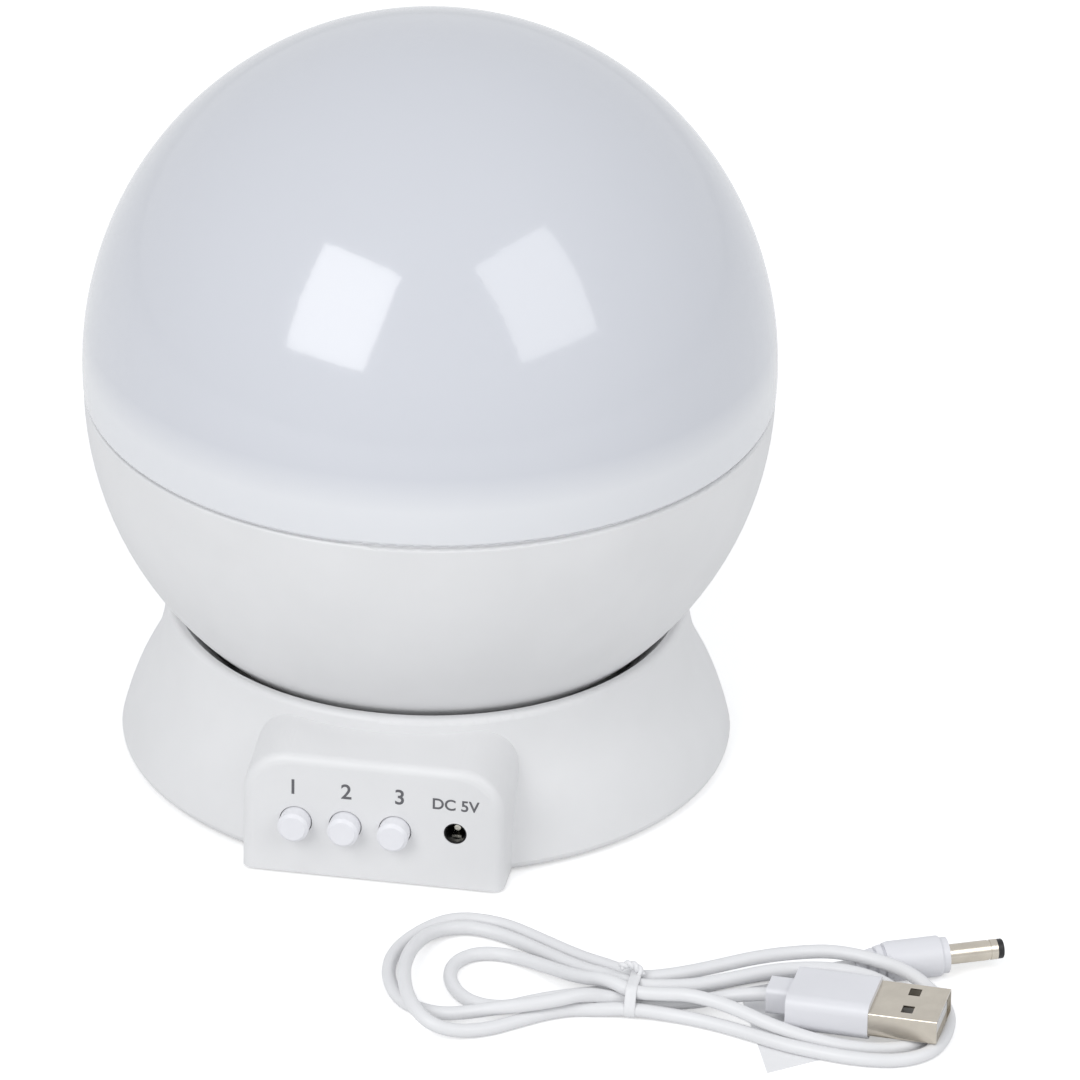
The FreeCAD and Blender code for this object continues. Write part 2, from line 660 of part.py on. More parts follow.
def make_star_mask():
    """The dark cap that throws the stars: a thin half globe with star-shaped windows."""
    inner = MASK_R - MASK_WALL
    rim = sphere_r(MASK_R, DOME_CENTRE_Z, SEAT_TOP_Z)
    rim_in = sphere_r(inner, DOME_CENTRE_Z, SEAT_TOP_Z)
    flange_r = SEAT_R - LUG_REACH - 0.3
    start = rz(sphere_r(MASK_R, DOME_CENTRE_Z, SEAT_TOP_Z + MASK_FLANGE), SEAT_TOP_Z + MASK_FLANGE)
    tops = (V(0, 0, DOME_CENTRE_Z + MASK_R), V(0, 0, DOME_CENTRE_Z + inner))
    slope = math.sqrt(0.5)
    edges = [
        arc(start, rz(MASK_R * slope, DOME_CENTRE_Z + MASK_R * slope), tops[0]),
        line(tops[0], tops[1]),
        arc(tops[1], rz(inner * slope, DOME_CENTRE_Z + inner * slope), rz(rim_in, SEAT_TOP_Z)),
        line(rz(rim_in, SEAT_TOP_Z), rz(flange_r, SEAT_TOP_Z)),
        line(rz(flange_r, SEAT_TOP_Z), rz(flange_r, SEAT_TOP_Z + MASK_FLANGE)),
        line(rz(flange_r, SEAT_TOP_Z + MASK_FLANGE), start),
    ]
    cap = spin(edges)
    windows = [star_prism(V(0, 0, 1), 9.0, 90)]
    rows = ((17, 15, 0, 5.2), (34, 13, 9, 6.4), (51, 10, 4, 5.4), (68, 6, 20, 7.0))
    for rise, count, offset, across in rows:
        for n in range(count):
            turn = math.radians(offset + 360 * n / count)
            tilt = math.radians(rise + 3.5 * math.sin(5 * n + rise))
            direction = V(math.cos(tilt) * math.cos(turn), math.cos(tilt) * math.sin(turn), math.sin(tilt))
            size = across * (1 + 0.28 * math.sin(7 * n + offset))
            windows.append(star_prism(direction, size, 90 + 24 * n))
    return cap.cut(windows)


def dome_curve(inset, z_edge):
    """The upper half of the globe's outline, from its edge to the top."""
    wide, tall = DOME_R - inset, DOME_HALF_HEIGHT - inset
    ellipse = Part.Ellipse(V(0, 0, DOME_CENTRE_Z + tall), V(wide, 0, DOME_CENTRE_Z), V(0, 0, DOME_CENTRE_Z))
    angle = math.acos((z_edge - DOME_CENTRE_Z) / tall)
    edge = Part.ArcOfEllipse(ellipse, 0, angle).toShape()
    return edge, rz(wide * math.sin(angle), z_edge)


def make_dome():
    """The milky diffuser, a little taller than round, with three lugs inside its rim."""
    outer, outer_end = dome_curve(0.0, DOME_EDGE_Z + EDGE_ROUND)
    inner, inner_end = dome_curve(DOME_WALL, DOME_EDGE_Z)
    tip = rz(outer_end.x - EDGE_ROUND, DOME_EDGE_Z)
    k = EDGE_ROUND * (1 - math.sqrt(0.5))
    top_out = V(0, 0, DOME_CENTRE_Z + DOME_HALF_HEIGHT)
    top_in = V(0, 0, DOME_CENTRE_Z + DOME_HALF_HEIGHT - DOME_WALL)
    edges = [
        outer,
        arc(outer_end, rz(outer_end.x - k, DOME_EDGE_Z + k), tip),
        line(tip, inner_end),
        inner,
        line(top_in, top_out),
    ]
    shell = spin(Part.__sortEdges__(edges))
    lug_low = DOME_EDGE_Z + 1.2
    lug_high = lug_low + LUG_HEIGHT
    r0, r1 = SEAT_R - LUG_REACH, DOME_R - DOME_WALL + 0.6
    return shell.fuse([turned_box(a, r0, r1, LUG_WIDTH / 2, lug_low, lug_high) for a in lug_angles()])


def post_screw_places():
    return [polar(BEARING_R - BEARING_WALL / 2, a) for a in (90, 210, 330)]


def make_lamp_post():
    """The fixed post through the globe; its flange keeps the globe on its bearing."""
    flange_r = HUB_OUT_R + 0.2
    bore = POST_HEAD_R - POST_WALL
    post = spin_polygon([
        (bore, POST_Z), (flange_r, POST_Z), (flange_r, POST_Z + POST_FLANGE),
        (POST_FOOT_R + 1.2, POST_Z + POST_FLANGE), (POST_FOOT_R, POST_Z + POST_FLANGE + 1.6),
        (POST_HEAD_R, POST_TOP_Z - 3.0), (LED_BOARD_R - 2.0, POST_TOP_Z - 1.4),
        (LED_BOARD_R - 2.0, POST_TOP_Z), (bore, POST_TOP_Z),
    ])
    holes = [cylinder(0.8 + SCREW_PLAY, POST_Z - 1, POST_Z + 8, p.x, p.y) for p in post_screw_places()]
    low, high = POST_TOP_Z - 3.2, POST_TOP_Z + 1
    holes += [cylinder(0.7 + SCREW_PLAY, low, high, x, 0) for x in (-LED_SCREW_X, LED_SCREW_X)]
    return post.cut(holes)


def make_post_screws():
    head_z = POST_Z + POST_FLANGE + 1.2
    return group([screw(p.x, p.y, head_z, POST_SCREW_TIP_Z, 1.4, 0.8) for p in post_screw_places()])


def make_led_board():
    board = cylinder(LED_BOARD_R, POST_TOP_Z, POST_TOP_Z + BOARD_THICK)
    low, high = POST_TOP_Z - 1, POST_TOP_Z + BOARD_THICK + 1
    holes = [cylinder(0.7 + SCREW_PLAY, low, high, x, 0) for x in (-LED_SCREW_X, LED_SCREW_X)]
    return board.cut(holes)


def make_led_screws():
    head_z, tip_z = POST_TOP_Z + BOARD_THICK + 1.0, POST_TOP_Z - 1.2
    return group([screw(x, 0, head_z, tip_z, 1.4, 0.7, 1.0) for x in (-LED_SCREW_X, LED_SCREW_X)])


def make_led(angle):
    """A round-nosed lamp standing on the board."""
    low = POST_TOP_Z + BOARD_THICK
    p = polar(LED_RING_R, angle)
    foot = cylinder(LED_R + 0.4, low, low + 1.0, p.x, p.y)
    body = cylinder(LED_R, low + 0.5, low + LED_HEIGHT - LED_R, p.x, p.y)
    nose = Part.makeSphere(LED_R, V(p.x, p.y, low + LED_HEIGHT - LED_R))
    return foot.fuse([body, nose])


def make_led_ribbon():
    """The flat lead from the lamp board down the post, under the deck and forward to the control board."""
    y0 = 0.0
    y1 = BOARD_FRONT_Y + BOARD_THICK
    low = DECK_Z - 0.1 - RIBBON_THICK
    bend = 2.4
    t = RIBBON_THICK
    k = 1 - math.sqrt(0.5)
    outer, inner = bend, bend - t
    bend_in = V(0, y0 - t - inner * k, low + t + inner * k)
    edges = [
        line(V(0, y0, POST_TOP_Z), V(0, y0, low + outer)),
        arc(V(0, y0, low + outer), V(0, y0 - outer * k, low + outer * k), V(0, y0 - outer, low)),
        line(V(0, y0 - outer, low), V(0, y1, low)),
        line(V(0, y1, low), V(0, y1, low + t)),
        line(V(0, y1, low + t), V(0, y0 - outer, low + t)),
        arc(V(0, y0 - outer, low + t), bend_in, V(0, y0 - t, low + outer)),
        line(V(0, y0 - t, low + outer), V(0, y0 - t, POST_TOP_Z)),
        line(V(0, y0 - t, POST_TOP_Z), V(0, y0, POST_TOP_Z)),
    ]
    face = Part.Face(Part.Wire(edges))
    ribbon = face.extrude(V(RIBBON_WIDTH, 0, 0))
    ribbon.translate(V(-RIBBON_WIDTH / 2, 0, 0))
    return ribbon


def make_control_board():
    left, right = POD_CENTRE_X - BOARD_HALF_WIDTH, POD_CENTRE_X + BOARD_HALF_WIDTH
    return box(left, right, BOARD_FRONT_Y, BOARD_FRONT_Y + BOARD_THICK, PLATE_TOP, BOARD_TOP_Z)


def make_switch_bodies():
    bodies = []
    half = SWITCH_SIZE / 2
    for x in button_places():
        front = BOARD_FRONT_Y - SWITCH_DEPTH
        body = box(x - half, x + half, front, BOARD_FRONT_Y, BUTTON_Z - half, BUTTON_Z + half)
        well = along_y(PLUNGER_R + 0.1, front - 1, BOARD_FRONT_Y - 0.6, x, BUTTON_Z)
        bodies.append(body.cut(well))
    return group(bodies)


def make_button(x):
    """A round cap with a chamfered front and a flange that keeps it behind the panel."""
    front = -POD_FACE - BUTTON_PROUD
    flange_y = -FACE_IN + HANG_GAP
    cap = along_y(BUTTON_R, front, flange_y + 0.2, x, BUTTON_Z)
    cap = cap.makeChamfer(0.55, [e for e in cap.Edges if e.BoundBox.YMax < front + 0.01])
    flange = along_y(BUTTON_FLANGE_R, flange_y, flange_y + BUTTON_FLANGE, x, BUTTON_Z)
    return cap.fuse(flange)


def make_plunger(x):
    start = -FACE_IN + HANG_GAP + BUTTON_FLANGE
    end = BOARD_FRONT_Y - 0.6 - BUTTON_TRAVEL - 0.2
    return along_y(PLUNGER_R, start, end, x, BUTTON_Z)


def make_dc_jack():
    """The black power socket right behind the panel's hole."""
    half = JACK_SIZE / 2
    front = -FACE_IN + HANG_GAP
    house = box(JACK_X - half, JACK_X + half, front, BOARD_FRONT_Y, JACK_Z - half, JACK_Z + half)
    bore = along_y(JACK_BORE_R, -POD_FACE - 1, BOARD_FRONT_Y - 1.0, JACK_X, JACK_Z)
    return house.cut(bore)


def make_jack_pin():
    back = BOARD_FRONT_Y - 1.0
    pin = along_y(JACK_PIN_R, -POD_FACE + JACK_PIN_DEPTH, back, JACK_X, JACK_Z)
    leaf_low = JACK_Z - JACK_BORE_R + 0.25
    leaf_high = leaf_low + JACK_LEAF_THICK
    leaf = box(JACK_X - 0.8, JACK_X + 0.8, -POD_FACE + JACK_LEAF_DEPTH, back, leaf_low, leaf_high)
    return group([pin, leaf])


def cell_places():
    return [CELL_PITCH * (n - (CELL_COUNT - 1) / 2) for n in range(CELL_COUNT)]


def cell_way(n):
    """Cells lie head to tail: +1 when the cap points along +Y."""
    return 1 if n % 2 == 0 else -1


def make_cells():
    cells = []
    half = CELL_LENGTH / 2
    for n, x in enumerate(cell_places()):
        body = along_y(CELL_R, -half, half - 1.0, 0, 0)
        body = body.makeFillet(0.5, [e for e in body.Edges if e.BoundBox.YLength < 0.01])
        cap = along_y(1.8, half - 1.5, half, 0, 0)
        cell = body.fuse(cap)
        if cell_way(n) < 0:
            cell.rotate(V(0, 0, 0), V(0, 0, 1), 180)
        cell.translate(V(x, BAY_CENTRE_Y, CELL_AXIS_Z))
        cells.append(cell)
    return group(cells)


def make_cell_contacts():
    plates = []
    for side in (-1, 1):
        y = BAY_CENTRE_Y + side * bay_half()
        y0, y1 = sorted((y, y - side * CONTACT_THICK))
        for n, x in enumerate(cell_places()):
            plate = box(x - 4.2, x + 4.2, y0, y1, PLATE_TOP + 0.6, BAY_TOP_Z - 0.4)
            if cell_way(n) == side:
                end = BAY_CENTRE_Y + side * CELL_LENGTH / 2
                a, b = sorted((y - side * CONTACT_THICK, end + side * 0.05))
                plate = plate.fuse(along_y(1.5, a, b, x, CELL_AXIS_Z))
            plates.append(plate)
    return group(plates)


def make_cell_springs():
    springs = []
    room = BAY_END_SPACE - CONTACT_THICK
    rise = room - 2 * SPRING_WIRE_R - 0.1
    for n, x in enumerate(cell_places()):
        path = Part.makeHelix(rise / SPRING_TURNS, rise, SPRING_R)
        corners = [math.radians(60 * k) for k in range(6)]
        wire = [rz(SPRING_R + SPRING_WIRE_R * math.cos(a), SPRING_WIRE_R * math.sin(a)) for a in corners]
        coil = Part.Wire(path).makePipeShell([Part.makePolygon(wire + [wire[0]])], True, True)
        coil.rotate(V(0, 0, 0), V(1, 0, 0), -90)
        start = BAY_CENTRE_Y - bay_half() + CONTACT_THICK + SPRING_WIRE_R + 0.05
        coil.translate(V(0, start, 0))
        if cell_way(n) < 0:
            coil.rotate(V(0, BAY_CENTRE_Y, 0), V(0, 0, 1), 180)
        coil.translate(V(x, 0, CELL_AXIS_Z))
        springs.append(coil)
    return group(springs)


# The tied cord seen from above: its left loops, the neck at the tie and its right loops.
HANK_LEFT = [
    (54.0, -83.5), (50.0, -83.1), (41.6, -76.9), (33.0, -69.0), (26.4, -65.2), (19.6, -64.4), (14.4, -66.9),
    (10.3, -73.0), (8.2, -80.1), (8.4, -87.0), (10.2, -92.6), (13.0, -98.4), (16.4, -103.6), (20.6, -106.8),
    (24.9, -106.3), (30.9, -104.0), (36.4, -99.8), (41.5, -96.8), (46.0, -94.1), (50.0, -93.3),
    (54.0, -93.0),
]
HANK_RIGHT = [
    (54.0, -93.0), (59.7, -92.4), (65.0, -93.2), (72.3, -95.5), (79.2, -98.0), (86.2, -99.7), (93.3, -101.0),
    (101.0, -100.3), (106.2, -95.4), (107.6, -87.8), (106.4, -80.8), (103.0, -76.0), (98.2, -73.3),
    (91.5, -72.6), (85.5, -71.7), (79.0, -70.8), (73.0, -72.0), (67.0, -75.8), (61.0, -79.8), (57.0, -82.6),
    (54.0, -83.5),
]
RIDGE = [
    (76.0, -71.8), (84.0, -72.0), (92.0, -73.2), (99.0, -74.2), (97.0, -79.6), (92.0, -80.2), (88.0, -80.6),
    (80.0, -79.6), (75.0, -79.2),
]
LABEL = [(68.8, -78.6), (78.2, -73.0), (86.9, -98.8), (78.3, -105.5)]


def slab(points, low, high):
    spots = [V(x, y, low) for x, y in points]
    return Part.Face(Part.makePolygon(spots + [spots[0]])).extrude(V(0, 0, high - low))


def tie_block(inset):
    """The twist tie's outside, or its inside when inset by its thickness."""
    half = TIE_WIDTH / 2
    return box(TIE_X - half, TIE_X + half, TIE_FRONT_Y + inset, TIE_BACK_Y - inset, inset, TIE_HIGH - inset)


def make_cable_hank():
    """The tied cord as one closed body, with pockets where the two plugs and the paper flag lie in it."""
    left, right = slab(HANK_LEFT, 0, HANK_TOP_Z), slab(HANK_RIGHT, 0, HANK_TOP_Z)
    hank = left.fuse([right, slab(RIDGE, 0, HANK_RIDGE_Z)])
    half = TIE_WIDTH / 2
    neck = box(TIE_X - half, TIE_X + half, TIE_FRONT_Y - 5, TIE_BACK_Y + 5, -1, HANK_RIDGE_Z + 1)
    cuts = [neck.cut(tie_block(TIE_THICK)), slab(LABEL, -1, LABEL_THICK + 0.05)]
    cuts += [usb_pocket(), dc_pocket()]
    return hank.cut(cuts)


def make_twist_tie():
    """The white wire tie round the neck of the cord, with its two ends twisted together on top."""
    loop = tie_block(0.0).cut(tie_block(TIE_THICK))
    ends = []
    for side in (-1, 1):
        foot = V(TIE_X + side * 0.3, TIE_BACK_Y - 1.6, TIE_HIGH + 0.4)
        ends.append(Part.makeCylinder(0.6, 3.4, foot, V(side * 0.8, 0.5, 0.7)))
    return loop.fuse(ends)


def make_cable_label():
    """A plain paper flag flat on the floor under the cord."""
    return slab(LABEL, 0, LABEL_THICK)


def usb_place(shape):
    """Turns and lifts a piece of the flat plug from its own axes to where the plug lies."""
    shape.rotate(V(0, 0, 0), V(0, 0, 1), USB_TURN)
    shape.translate(V(USB_START[0], USB_START[1], USB_LIFT))
    return shape


def centred_block(size, start_x, low):
    long, wide, high = size
    return box(start_x, start_x + long, -wide / 2, wide / 2, low, low + high)


def long_edges(shape):
    return [e for e in shape.Edges if e.BoundBox.XLength > 1]


def usb_pocket():
    """The room that the flat plug takes in the tied cord, open to the top."""
    length = USB_RELIEF[0] + USB_BODY[0] + USB_SHELL[0] + PLUG_ROOM
    return usb_place(centred_block((length, USB_BODY[1] + 2 * PLUG_ROOM, 20), 0, -PLUG_ROOM))


def make_usb_relief():
    block = centred_block(USB_RELIEF, 0, (USB_BODY[2] - USB_RELIEF[2]) / 2)
    return usb_place(block.makeFillet(0.8, long_edges(block)))


def make_usb_body():
    block = centred_block(USB_BODY, USB_RELIEF[0], 0)
    return usb_place(block.makeFillet(2.0, long_edges(block)))


def make_usb_shell():
    """The folded metal shell with its four latch windows."""
    start = USB_RELIEF[0] + USB_BODY[0]
    low = (USB_BODY[2] - USB_SHELL[2]) / 2
    outer = centred_block(USB_SHELL, start, low)
    outer = outer.makeFillet(0.5, long_edges(outer))
    hollow = (USB_SHELL[0], USB_SHELL[1] - 2 * USB_SHEET, USB_SHELL[2] - 2 * USB_SHEET)
    shell = outer.cut(centred_block(hollow, start + 0.6, low + USB_SHEET))
    top = low + USB_SHELL[2]
    windows = [box(start + 5.2, start + 7.2, y - 1.2, y + 1.2, low - 1, top + 1) for y in (-3.0, 3.0)]
    return usb_place(shell.cut(windows))


def make_usb_tongue():
    start = USB_RELIEF[0] + USB_BODY[0] + 0.6
    low = (USB_BODY[2] - USB_SHELL[2]) / 2 + USB_SHEET
    return usb_place(centred_block(USB_TONGUE, start, low))


def dc_place(shape):
    """Turns and lifts a piece of the round plug from its own axis to where the plug lies."""
    shape.rotate(V(0, 0, 0), V(0, 0, 1), DC_TURN)
    shape.translate(V(DC_START[0], DC_START[1], DC_BODY_R))
    return shape


def along_x(radius, x0, x1):
    return Part.makeCylinder(radius, x1 - x0, V(x0, 0, 0), V(1, 0, 0))


def dc_pocket():
    """The room that the round plug takes in the tied cord, open to the top."""
    length = DC_TAIL + DC_BODY + DC_COLLAR + DC_BARREL + DC_TIP
    wide = 2 * (DC_BODY_R + PLUG_ROOM)
    return dc_place(centred_block((length, wide, 20), 0, -DC_BODY_R - 1))


def make_dc_body():
    """The moulded plug body: a ribbed tail that swells into a round grip, and a small collar."""
    grip_end = DC_TAIL + DC_BODY
    tail = Part.makeCone(DC_TAIL_R, DC_BODY_R, DC_TAIL, V(0, 0, 0), V(1, 0, 0))
    grip = along_x(DC_BODY_R, DC_TAIL, grip_end)
    grip = grip.makeFillet(0.35, [e for e in grip.Edges if e.BoundBox.XMin > grip_end - 0.01])
    collar = along_x(DC_COLLAR_R, grip_end, grip_end + DC_COLLAR)
    body = tail.fuse([grip, collar])
    grooves = []
    for n in range(3):
        x = 1.6 + 1.5 * n
        floor_r = DC_TAIL_R + (DC_BODY_R - DC_TAIL_R) * x / DC_TAIL - 0.35
        grooves.append(along_x(DC_BODY_R + 1, x, x + 0.5).cut(along_x(floor_r, 0, DC_TAIL)))
    return dc_place(body.cut(grooves))


def make_dc_barrel():
    start = DC_TAIL + DC_BODY + DC_COLLAR
    barrel = along_x(DC_BARREL_R, start, start + DC_BARREL)
    groove = along_x(DC_BARREL_R + 1, start + 7.2, start + 7.6)
    groove = groove.cut(along_x(DC_BARREL_R - 0.12, start, start + DC_BARREL))
    bore = along_x(0.7, start + 1.0, start + DC_BARREL + 1)
    return dc_place(barrel.cut([groove, bore]))


def make_dc_tip():
    start = DC_TAIL + DC_BODY + DC_COLLAR + DC_BARREL
    tip = along_x(DC_BARREL_R - 0.05, start, start + DC_TIP)
    tip = tip.makeFillet(0.3, [e for e in tip.Edges if e.BoundBox.XMin > start + DC_TIP - 0.01])
    return dc_place(tip.cut(along_x(0.7, start - 1, start + DC_TIP + 1)))


def main():
    os.makedirs("parts", exist_ok=True)
    nodes = {
        "base_shell": make_base_shell(),
        "base_plate": make_base_plate(),
        "battery_door": make_battery_door(),
        "rubber_feet": make_rubber_feet(),
        "base_screws": make_base_screws(),
        "inner_deck": make_deck(),
        "deck_screws": make_deck_screws(),
        "glide_ring": make_glide_ring(),
        "drive_motor": make_motor(),
        "motor_screws": make_motor_screws(),
        "motor_shaft": make_motor_shaft(),
        "drive_pinion": make_pinion(),
        "ring_gear": make_ring_gear(),
        "gear_screws": make_gear_screws(),
        "rotor_bowl": make_rotor_bowl(),
        "seat_ring": make_seat_ring(),
        "star_mask": make_star_mask(),
        "diffuser_dome": make_dome(),
        "lamp_post": make_lamp_post(),
        "post_screws": make_post_screws(),
        "led_board": make_led_board(),
        "led_screws": make_led_screws(),
        "led_warm": make_led(45),
        "led_red": make_led(135),
        "led_green": make_led(225),
        "led_blue": make_led(315),
        "led_ribbon": make_led_ribbon(),
        "control_board": make_control_board(),
        "switch_bodies": make_switch_bodies(),
        "dc_jack": make_dc_jack(),
        "jack_contacts": make_jack_pin(),
        "aaa_cells": make_cells(),
        "cell_contacts": make_cell_contacts(),
        "cell_springs": make_cell_springs(),
        "cable_hank": make_cable_hank(),
        "twist_tie": make_twist_tie(),
        "cable_label": make_cable_label(),
        "usb_relief": make_usb_relief(),
        "usb_body": make_usb_body(),
        "usb_shell": make_usb_shell(),
        "usb_tongue": make_usb_tongue(),
        "dc_plug_body": make_dc_body(),
        "dc_plug_barrel": make_dc_barrel(),
        "dc_plug_tip": make_dc_tip(),
    }
    for n, x in enumerate(button_places()):
        nodes[f"button_{n + 1}"] = make_button(x)
        nodes[f"plunger_{n + 1}"] = make_plunger(x)
    for name, shape in nodes.items():
        if not shape.isValid():
            print("not valid:", name)
        print(name, "solids", len(shape.Solids), "volume", round(shape.Volume, 1))
        shape.exportStep(f"parts/{name}.step")


main()
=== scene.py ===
"""Star night light projector: finishes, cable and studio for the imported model."""

import json
import math

import bmesh
import bpy
from mathutils import Matrix, Vector


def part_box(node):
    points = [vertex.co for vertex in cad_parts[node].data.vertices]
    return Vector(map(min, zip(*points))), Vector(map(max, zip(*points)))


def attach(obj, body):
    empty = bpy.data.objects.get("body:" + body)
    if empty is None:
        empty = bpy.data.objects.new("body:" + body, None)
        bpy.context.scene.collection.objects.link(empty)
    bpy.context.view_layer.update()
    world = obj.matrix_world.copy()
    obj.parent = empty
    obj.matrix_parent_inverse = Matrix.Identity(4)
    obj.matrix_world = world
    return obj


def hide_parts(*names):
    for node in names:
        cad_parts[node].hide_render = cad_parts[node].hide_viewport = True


MM = 0.001

# Camera, fitted to the outlines of the lamp in the photograph
PICTURE = 1080
CAMERA_AZIMUTH = 10.5
CAMERA_ELEVATION = 27.4
CAMERA_ROLL = 0.61
CAMERA_DISTANCE = 2.5
CAMERA_FOCUS_PX = 14480.21
CAMERA_CENTRE_PX = (429.62, 399.18)
CAMERA_TARGET = (0.0, 0.0, 0.06534)
CAMERA_REACH = 50.0
SENSOR = 36.0

# Cable, in millimetres, with a strand's height in the tie's two rows and on the floor
CORD_DIAMETER = 2.4
TIE_X = 52.5
UPPER = 4.05
LOWER = 1.65
FLOOR = 1.22

# Twist tie round the strands, in millimetres
TIE_CORNERS = [(-91.5, LOWER), (-86.5, LOWER), (-85.2, UPPER), (-90.2, UPPER)]
TIE_ARC_STEPS = 6
TIE_HALF_WIDTH = 0.95
TIE_THICK = 0.28
TIE_RIB = 0.4
TIE_END_R = 0.42
TIE_END_STEPS = 26
TIE_END_TURNS = 2.2
TIE_END_Y = -86.6
TIE_END_Z = 5.5
TIE_CURL = 2.5
TIE_CURL_R = 1.5

# Black nose of the power socket, set back a little from the panel
NOSE_IN_R = 1.74 * MM
NOSE_OUT_R = 1.98 * MM
NOSE_ROUND = 0.05 * MM
NOSE_FACE = 0.08 * MM
NOSE_STEPS = 48

# Panel marks, in millimetres
MARK_FIRST_X = -12.9
MARK_PITCH = 9.3
MARK_Z = 17.0
MARK_SIZE = 4.0
SOCKET_MARK_Z = 16.5
SOCKET_MARK_SIZE = 2.9
MARK_WEIGHT = 0.045
MARK_THICK = 0.02

# Light
FLOOR_HALF = 6.0
FLOOR_WHITE = 0.82
FLOOR_ROUGH = 0.9
FLOOR_GLOW = 0.42
FLOOR_SHEEN = 0.16
WORLD_FILL = 0.65
WORLD_SHEEN = 0.85
FILL_TINT = (0.95, 0.97, 1.0, 1.0)
SHEEN_TINT = (0.97, 0.98, 1.0, 1.0)
SOFTBOXES = {
    "key_left": {
        "place": (-0.667, -1.33, 1.184), "aim": (-0.006, -0.049, 0.106),
        "size": (0.96, 1.11), "power": 11.4,
    },
    "key_right": {
        "place": (1.228, -0.765, 1.235), "aim": (0.027, -0.040, 0.107),
        "size": (0.98, 1.14), "power": 6.8,
    },
}

# Main colours
# The two dome tints are painted shade: the darker one stands for the dark star mask seen through
# the milky shell, the paler one for the white collar showing through near the seam
DOME_MASK_SHADE_TINT = (0.65, 0.665, 0.71, 1.0)
DOME_COLLAR_SHOWTHROUGH_TINT = (0.78, 0.79, 0.815, 1.0)
BODY_TINT = (0.785, 0.785, 0.79, 1.0)
CORD_TINT = (0.80, 0.80, 0.81, 1.0)
GRAIN_DEPTH = 0.00002

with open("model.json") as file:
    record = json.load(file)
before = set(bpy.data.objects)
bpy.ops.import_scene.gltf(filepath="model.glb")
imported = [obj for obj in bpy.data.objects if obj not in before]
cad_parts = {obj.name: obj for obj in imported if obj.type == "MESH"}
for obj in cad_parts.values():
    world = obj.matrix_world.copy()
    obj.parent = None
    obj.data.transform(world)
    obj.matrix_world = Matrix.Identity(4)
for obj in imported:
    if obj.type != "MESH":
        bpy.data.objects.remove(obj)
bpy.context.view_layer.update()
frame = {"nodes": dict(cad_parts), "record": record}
nodes = frame["nodes"]


# Node helpers
def new_material(name):
    """A material with its tree and its shader."""
    mat = bpy.data.materials.new(name)
    mat.use_nodes = True
    tree = mat.node_tree
    shader = tree.nodes["Principled BSDF"]
    return mat, tree, shader


def add(tree, kind, **values):
    """A shader node, with attributes and input defaults set by name."""
    node = tree.nodes.new(kind)
    for key, value in values.items():
        if hasattr(node, key):
            setattr(node, key, value)
        else:
            node.inputs[key.replace("_", " ")].default_value = value
    return node


def link(tree, a, b):
    tree.links.new(a, b)


def object_point(tree):
    return add(tree, "ShaderNodeTexCoord").outputs["Object"]


def noise(tree, scale, detail=4.0, rough=0.5):
    node = add(tree, "ShaderNodeTexNoise", Scale=scale, Detail=detail, Roughness=rough)
    link(tree, object_point(tree), node.inputs["Vector"])
    return node.outputs["Fac"]


def ramp(tree, factor, stops):
    node = add(tree, "ShaderNodeValToRGB")
    colours = node.color_ramp.elements
    colours[0].position, colours[0].color = stops[0]
    colours[1].position, colours[1].color = stops[-1]
    for place, colour in stops[1:-1]:
        colours.new(place).color = colour
    link(tree, factor, node.inputs["Fac"])
    return node.outputs["Color"]


def grey(value):
    return (value, value, value, 1.0)


def shade(colour, amount):
    return tuple(min(1.0, c * amount) for c in colour[:3]) + (1.0,)


def bump(tree, height, strength, distance):
    node = add(tree, "ShaderNodeBump", Strength=strength, Distance=distance)
    link(tree, height, node.inputs["Height"])
    return node.outputs["Normal"]


def blotches(tree, factor, dark, pale, high=0.7):
    """A colour that wanders between two tints along a noise."""
    return ramp(tree, factor, [(0.3, dark), (high, pale)])


def moulded(name, colour, rough=0.4, grain=2600.0, depth=GRAIN_DEPTH, coat=0.0):
    """Moulded plastic: faint blotches of colour, uneven gloss and a fine grain."""
    mat, tree, shader = new_material(name)
    tint = blotches(tree, noise(tree, 60.0), shade(colour, 1 - 0.02), shade(colour, 1 + 0.02))
    link(tree, tint, shader.inputs["Base Color"])
    gloss = blotches(tree, noise(tree, 180.0), grey(rough * 0.88), grey(rough * 1.12))
    link(tree, gloss, shader.inputs["Roughness"])
    link(tree, bump(tree, noise(tree, grain, 3.0), 0.35, depth), shader.inputs["Normal"])
    shader.inputs["Coat Weight"].default_value = coat
    shader.inputs["Coat Roughness"].default_value = 0.06
    return mat


def metal(name, colour, rough=0.22, brush=(1.0, 1.0, 1.0), grain=2200.0):
    """Plated or brushed metal, with fine scratches along one direction."""
    mat, tree, shader = new_material(name)
    shader.inputs["Metallic"].default_value = 1.0
    mapping = add(tree, "ShaderNodeMapping")
    mapping.inputs["Scale"].default_value = brush
    link(tree, object_point(tree), mapping.inputs["Vector"])
    scratch = add(tree, "ShaderNodeTexNoise", Scale=grain, Detail=5.0)
    link(tree, mapping.outputs["Vector"], scratch.inputs["Vector"])
    tint = blotches(tree, noise(tree, 240.0), shade(colour, 0.93), shade(colour, 1.05))
    link(tree, tint, shader.inputs["Base Color"])
    gloss = blotches(tree, scratch.outputs["Fac"], grey(rough * 0.7), grey(rough * 1.4), high=0.75)
    link(tree, gloss, shader.inputs["Roughness"])
    link(tree, bump(tree, scratch.outputs["Fac"], 0.2, GRAIN_DEPTH), shader.inputs["Normal"])
    return mat


